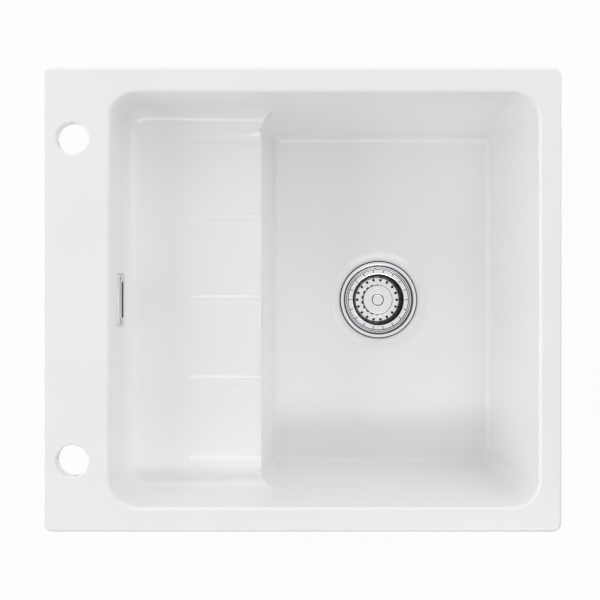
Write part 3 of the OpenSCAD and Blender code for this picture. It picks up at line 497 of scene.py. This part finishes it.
def cut_thread(piece, foot, way, major_r, pitch, length, steps):
    """Cuts a screw thread into a rod or spigot, from its foot along the way it points."""
    # A triangle that points at the axis is wound up it and taken out of the piece
    size = pitch / 2
    depth = 0.6 * pitch
    bpy.ops.object.select_all(action="DESELECT")
    bpy.ops.mesh.primitive_circle_add(
        vertices=3, radius=size, location=(major_r - depth + size, 0, 0),
        rotation=(math.pi / 2, -math.pi / 2, 0))
    cutter = bpy.context.object
    bpy.ops.object.transform_apply(location=True, rotation=True, scale=True)
    winding = cutter.modifiers.new("winding", "SCREW")
    winding.screw_offset = pitch
    winding.iterations = round(length / pitch)
    winding.steps = steps
    winding.render_steps = steps
    bpy.ops.object.modifier_apply(modifier=winding.name)
    bpy.ops.object.mode_set(mode="EDIT")
    bpy.ops.mesh.select_all(action="DESELECT")
    bpy.ops.mesh.select_non_manifold()
    bpy.ops.mesh.fill()
    bpy.ops.mesh.select_all(action="SELECT")
    bpy.ops.mesh.normals_make_consistent(inside=False)
    bpy.ops.object.mode_set(mode="OBJECT")
    cutter.rotation_euler = Vector(way).to_track_quat("Z", "Y").to_euler()
    cutter.location = foot
    bpy.ops.object.transform_apply(location=True, rotation=True, scale=True)
    cut = piece.modifiers.new("thread", "BOOLEAN")
    cut.operation = "DIFFERENCE"
    cut.solver = "EXACT"
    cut.object = cutter
    bpy.context.view_layer.objects.active = piece
    bpy.ops.object.modifier_apply(modifier=cut.name)
    bpy.data.objects.remove(cutter)


# Clamp screws: M4, with the thread's 0.7 mm pitch cut where the screw shows above its bracket
screws = take_over("clamp_screws", "clamp_screws_threaded", "basin", (zinc,))
for x, y in ((-0.155, 0.2385), (-0.155, -0.2385), (0.195, 0.2385), (0.195, -0.2385)):
    cut_thread(screws, (x, y, -0.0436), (0, 0, 1),
               major_r=0.002, pitch=0.0007, length=0.0175, steps=12)

# Seals: black moulded rubber, matt, with a fine grain of about 1 mm.
rubber_black = "#17171A"
rubber_worn = "#222226"
rubber, tree, shader = finish("black_moulded_rubber")
place = add(tree, "ShaderNodeTexCoord", {}, {}).outputs["Object"]
grain = add(tree, "ShaderNodeTexNoise", {}, {"Vector": place, "Scale": 1000, "Detail": 2})
tint = add(tree, "ShaderNodeMix", {"data_type": "RGBA"}, {
    0: grain.outputs["Fac"], 6: linear(rubber_black), 7: linear(rubber_worn)})
relief = add(tree, "ShaderNodeBump", {}, {
    "Strength": 0.2, "Distance": 0.0001, "Height": grain.outputs["Fac"]})
tree.links.new(tint.outputs[2], shader.inputs["Base Color"])
tree.links.new(relief.outputs["Normal"], shader.inputs["Normal"])
shader.inputs["Roughness"].default_value = 0.75
for node, name, body in (
        ("flange_seal", "drain_flange_gasket", "basin"),
        ("waste_body_seal", "waste_gasket", "basin"),
        ("basket_seal", "basket_stopper", "basket"),
        ("overflow_box_seal", "overflow_gasket", "basin"),
        ("upper_hose_seal", "hose_ring_upper", "basin"),
        ("lower_hose_seal", "hose_ring_lower", "basin")):
    take_over(node, name, body, (rubber,))

# Waste body and hose nuts: white moulded polypropylene, slightly waxy, with a fine mould grain.
white_pp = "#E8E8E4"
white_pp_shade = "#DEDED9"
moulded_white, tree, shader = finish("white_moulded_polypropylene")
place = add(tree, "ShaderNodeTexCoord", {}, {}).outputs["Object"]
grain = add(tree, "ShaderNodeTexNoise", {}, {"Vector": place, "Scale": 900, "Detail": 2})
flow = add(tree, "ShaderNodeTexNoise", {}, {"Vector": place, "Scale": 30, "Detail": 2})
tint = add(tree, "ShaderNodeMix", {"data_type": "RGBA"}, {
    0: flow.outputs["Fac"], 6: linear(white_pp_shade), 7: linear(white_pp)})
relief = add(tree, "ShaderNodeBump", {}, {
    "Strength": 0.15, "Distance": 0.0001, "Height": grain.outputs["Fac"]})
tree.links.new(tint.outputs[2], shader.inputs["Base Color"])
tree.links.new(relief.outputs["Normal"], shader.inputs["Normal"])
shader.inputs["Roughness"].default_value = 0.42
take_over("upper_hose_nut", "hose_nut_upper", "basin", (moulded_white,))
take_over("lower_hose_nut", "hose_nut_lower", "basin", (moulded_white,))
# The outlet has the 2.3 mm pitch of a pipe thread, the spigot a coarse one for its nut
waste = take_over("waste_body", "waste_body_moulded", "basin", (moulded_white,))
cut_thread(waste, (drain_x, 0, -0.2845), (0, 0, 1),
           major_r=0.0239, pitch=0.0023, length=0.0276, steps=64)
cut_thread(waste, (0.0221, 0, -0.219), (1, 0, 0),
           major_r=0.013, pitch=0.0018, length=0.018, steps=48)

# Overflow box and wall plugs: the same plastic in light grey.
grey_pp = "#B9BCBE"
grey_pp_shade = "#ADB0B3"
moulded_grey, tree, shader = finish("grey_moulded_polypropylene")
place = add(tree, "ShaderNodeTexCoord", {}, {}).outputs["Object"]
grain = add(tree, "ShaderNodeTexNoise", {}, {"Vector": place, "Scale": 900, "Detail": 2})
flow = add(tree, "ShaderNodeTexNoise", {}, {"Vector": place, "Scale": 30, "Detail": 2})
tint = add(tree, "ShaderNodeMix", {"data_type": "RGBA"}, {
    0: flow.outputs["Fac"], 6: linear(grey_pp_shade), 7: linear(grey_pp)})
relief = add(tree, "ShaderNodeBump", {}, {
    "Strength": 0.15, "Distance": 0.0001, "Height": grain.outputs["Fac"]})
tree.links.new(tint.outputs[2], shader.inputs["Base Color"])
tree.links.new(relief.outputs["Normal"], shader.inputs["Normal"])
shader.inputs["Roughness"].default_value = 0.45
take_over("clamp_plugs", "wall_plugs", "basin", (moulded_grey,))
box = take_over("overflow_box", "overflow_box_moulded", "basin", (moulded_grey,))
cut_thread(box, (-0.230032, 0, -0.071791), (-0.104528, 0, 0.994522),
           major_r=0.013, pitch=0.0018, length=0.018, steps=48)

# Overflow hose: one ribbed tube of soft grey plastic, pushed on the box's spigot at the top
# and on the waste body's at the bottom. It runs straight down, round one wide bend, then level.
hose_from = (-0.229938, -0.072686)
hose_to = (0.023, -0.219)
bend_r = 0.110
bend_turn = math.radians(84)
cuff_r = 0.0113
crest_r = 0.0124
rib_count = 67
tube_sheet = 0.0017
cuff_steps = 6
route_steps = 160
drop = (hose_from[1] - hose_to[1] - bend_r * (1 - math.cos(bend_turn))) / math.sin(bend_turn)
arc = bend_r * bend_turn
level_run = (hose_to[0] - hose_from[0] - drop * math.cos(bend_turn)
             - bend_r * math.sin(bend_turn))
hose_length = drop + arc + level_run
plain = 2 * cuff_r
rib = (hose_length - 2 * plain) / rib_count


def hose_point(s):
    """Point of the hose's middle line at a distance along it."""
    if s < drop:
        return Vector((hose_from[0] + s * math.cos(bend_turn), 0,
                       hose_from[1] - s * math.sin(bend_turn)))
    if s < drop + arc:
        way = (s - drop) / bend_r - bend_turn
        return Vector((hose_to[0] - level_run + bend_r * math.sin(way), 0,
                       hose_to[1] + bend_r * (1 - math.cos(way))))
    return Vector((hose_to[0] - (hose_length - s), 0, hose_to[1]))


def next_ring(step, size):
    """Extrudes the open ring along the tube and sets its size against the last one."""
    bpy.ops.mesh.extrude_region_move(TRANSFORM_OT_translate={"value": (step, 0, 0)})
    bpy.ops.transform.resize(value=(1, size, size), center_override=(0, 0, 0))


# One rib, with a round crest, is modelled and repeated along the tube
bpy.ops.object.select_all(action="DESELECT")
bpy.ops.mesh.primitive_circle_add(
    vertices=40, radius=cuff_r, location=(plain, 0, 0), rotation=(0, math.pi / 2, 0))
hose = bpy.context.object
hose.name = "ribbed_overflow_hose"
bpy.ops.object.transform_apply(location=True, rotation=True, scale=True)
bpy.ops.object.mode_set(mode="EDIT")
bpy.ops.mesh.select_all(action="SELECT")
middle_r = (cuff_r + 2 * crest_r) / 3
for share, size in ((0.2, 1), (0.15, middle_r / cuff_r), (0.15, crest_r / middle_r),
                    (0.2, 1), (0.15, middle_r / crest_r), (0.15, cuff_r / middle_r)):
    next_ring(share * rib, size)
bpy.ops.object.mode_set(mode="OBJECT")
repeat = hose.modifiers.new("ribs", "ARRAY")
repeat.count = rib_count
repeat.use_relative_offset = False
repeat.use_constant_offset = True
repeat.constant_offset_displace = (rib, 0, 0)
repeat.use_merge_vertices = True
repeat.merge_threshold = 0.00002
bpy.ops.object.modifier_apply(modifier=repeat.name)
# A plain cuff is drawn out of each end, in steps that let the tube bend
for end, way in ((plain, -1), (hose_length - plain, 1)):
    for vertex in hose.data.vertices:
        vertex.select = abs(vertex.co.x - end) < 0.00005
    for edge in hose.data.edges:
        edge.select = all(hose.data.vertices[i].select for i in edge.vertices)
    for face in hose.data.polygons:
        face.select = False
    bpy.ops.object.mode_set(mode="EDIT")
    for step in range(cuff_steps):
        next_ring(way * plain / cuff_steps, 1)
    bpy.ops.object.mode_set(mode="OBJECT")
bpy.ops.object.mode_set(mode="EDIT")
bpy.ops.mesh.select_all(action="SELECT")
bpy.ops.mesh.normals_make_consistent(inside=False)
bpy.ops.object.mode_set(mode="OBJECT")
tube_wall = hose.modifiers.new("wall", "SOLIDIFY")
tube_wall.thickness = tube_sheet
tube_wall.offset = -1
bpy.ops.object.modifier_apply(modifier=tube_wall.name)
route_data = bpy.data.curves.new("hose_route", "CURVE")
route_data.dimensions = "3D"
line = route_data.splines.new("POLY")
route_points = [hose_point(hose_length * i / route_steps) for i in range(route_steps + 1)]
line.points.add(len(route_points) - 1)
for spot, at in zip(line.points, route_points):
    spot.co = (at.x, at.y, at.z, 1)
route = bpy.data.objects.new("hose_route", route_data)
bpy.context.scene.collection.objects.link(route)
along = hose.modifiers.new("along_route", "CURVE")
along.object = route
bpy.ops.object.modifier_apply(modifier=along.name)
bpy.data.objects.remove(route)
bpy.ops.object.shade_smooth_by_angle(angle=math.radians(50))
hose.data.materials.append(moulded_grey)
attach(hose, "basin")
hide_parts("overflow_hose")

# Stage: a pale floor under the sink, white to the camera, that keeps the sink's soft shadow.
floor_height = cad_low.z - 0.0005
paper, tree, shader = finish("studio_paper")
shader.inputs["Base Color"].default_value = linear("#FAFAFA")
shader.inputs["Roughness"].default_value = 0.9
path = add(tree, "ShaderNodeLightPath", {}, {})
seen = add(tree, "ShaderNodeMath", {"operation": "MAXIMUM"}, {
    0: path.outputs["Is Camera Ray"], 1: path.outputs["Is Glossy Ray"]})
share = add(tree, "ShaderNodeMath", {"operation": "MULTIPLY"}, {0: seen.outputs[0], 1: 0.93})
glow = add(tree, "ShaderNodeEmission", {}, {"Color": (1, 1, 1, 1), "Strength": 1})
mixed = add(tree, "ShaderNodeMixShader", {}, {
    0: share.outputs[0], 1: shader.outputs[0], 2: glow.outputs[0]})
tree.links.new(mixed.outputs[0], tree.nodes["Material Output"].inputs["Surface"])
bpy.ops.object.select_all(action="DESELECT")
bpy.ops.mesh.primitive_plane_add(size=12, location=(0, 0, floor_height))
floor = bpy.context.object
floor.name = "studio_floor"
floor.data.materials.append(paper)

# Light: a dim even room and four soft lamps. Three stand low beyond the tap ledge, low behind
# and high behind the right corner, and reach into the bowl. A long one overhead, towards the
# front, is the one that the polished steel and the glaze of the drain's dish mirror.
world = bpy.data.worlds.new("pale_room")
bpy.context.scene.world = world
world.use_nodes = True
tree = world.node_tree
path = add(tree, "ShaderNodeLightPath", {}, {})
seen = add(tree, "ShaderNodeMath", {"operation": "MAXIMUM"}, {
    0: path.outputs["Is Camera Ray"], 1: path.outputs["Is Transmission Ray"]})
shown = add(tree, "ShaderNodeMath", {"operation": "MAXIMUM"}, {
    0: seen.outputs[0], 1: path.outputs["Is Glossy Ray"]})
level = add(tree, "ShaderNodeMapRange", {}, {
    "Value": shown.outputs[0], "To Min": 0.4, "To Max": 1})
tree.nodes["Background"].inputs["Color"].default_value = (1, 1, 1, 1)
tree.links.new(level.outputs[0], tree.nodes["Background"].inputs["Strength"])

look_at = Vector((0.02, 0, -0.05))
for name, power, width, depth, at in (
        ("lamp_low_left", 21, 1.8, 1.8, (-2, 0, 0.8)),
        ("lamp_low_behind", 12, 1.8, 1.8, (0, 2, 0.8)),
        ("lamp_high_right", 12, 1.8, 1.8, (1.6, 1.1, 1.4)),
        ("lamp_overhead", 7.5, 1.4, 0.3, (0.2, -0.95, 1.7))):
    lamp_data = bpy.data.lights.new(name, "AREA")
    lamp_data.shape = "RECTANGLE"
    lamp_data.size = width
    lamp_data.size_y = depth
    lamp_data.energy = power
    lamp = bpy.data.objects.new(name, lamp_data)
    lamp.location = at
    lamp.rotation_euler = (look_at - lamp.location).to_track_quat("-Z", "Y").to_euler()
    bpy.context.scene.collection.objects.link(lamp)

# Camera: straight down over the middle of the rim, 1.15 m above it
camera_data = bpy.data.cameras.new("camera")
camera_data.lens = 62.96
camera_data.sensor_width = 36
camera = bpy.data.objects.new("camera", camera_data)
camera.location = (-0.0024, -0.0004, 1.165)
bpy.context.scene.collection.objects.link(camera)
bpy.context.scene.camera = camera
bpy.context.scene.view_settings.view_transform = "Standard"
